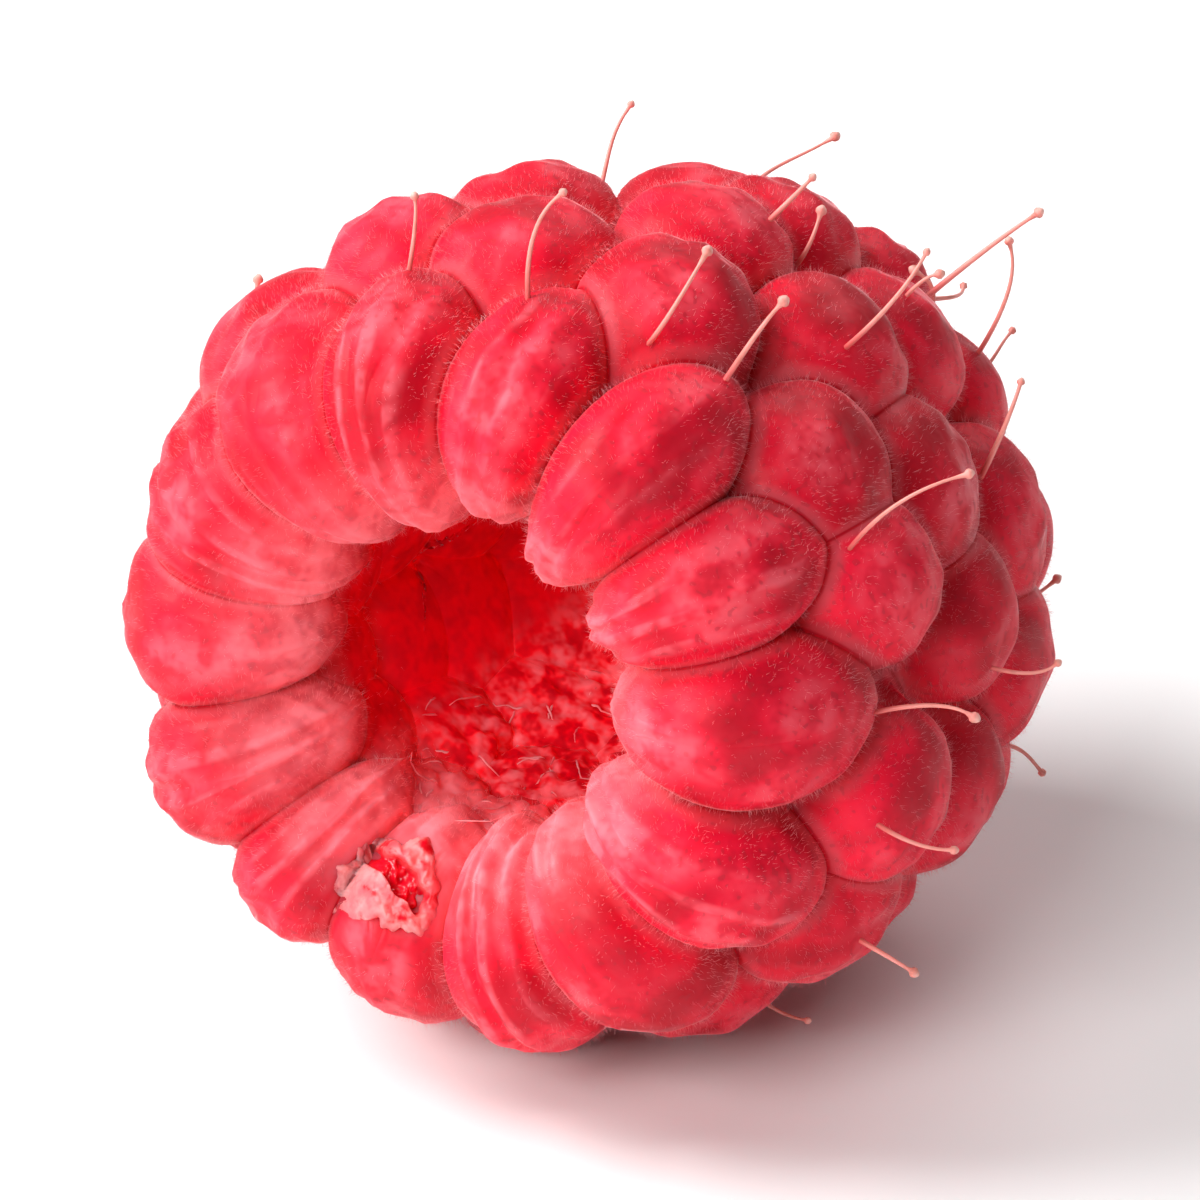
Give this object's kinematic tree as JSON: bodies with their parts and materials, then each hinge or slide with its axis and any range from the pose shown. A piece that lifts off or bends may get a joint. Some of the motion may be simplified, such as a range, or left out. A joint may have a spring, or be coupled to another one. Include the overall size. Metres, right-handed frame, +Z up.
{
  "type": "raspberry",
  "caption": "Picked red raspberry lying on its side: one hollow cup of plump drupelets grown together, open at its wide end.",
  "frame": {"origin": "on the surface that the berry lies on, under the middle of its outline", "axes": "+Z up; the berry's own axis runs along +Y, from its open mouth in front (-Y) to its closed tip behind (+Y), 8 degrees nose down"},
  "size_m": [0.0214, 0.0228, 0.0211],
  "materials": {
    "berry_flesh": "translucent juicy red flesh under a fine pale down"
  },
  "bodies": {
    "root": {"raspberry": "berry_flesh"}
  },
  "joints": []
}
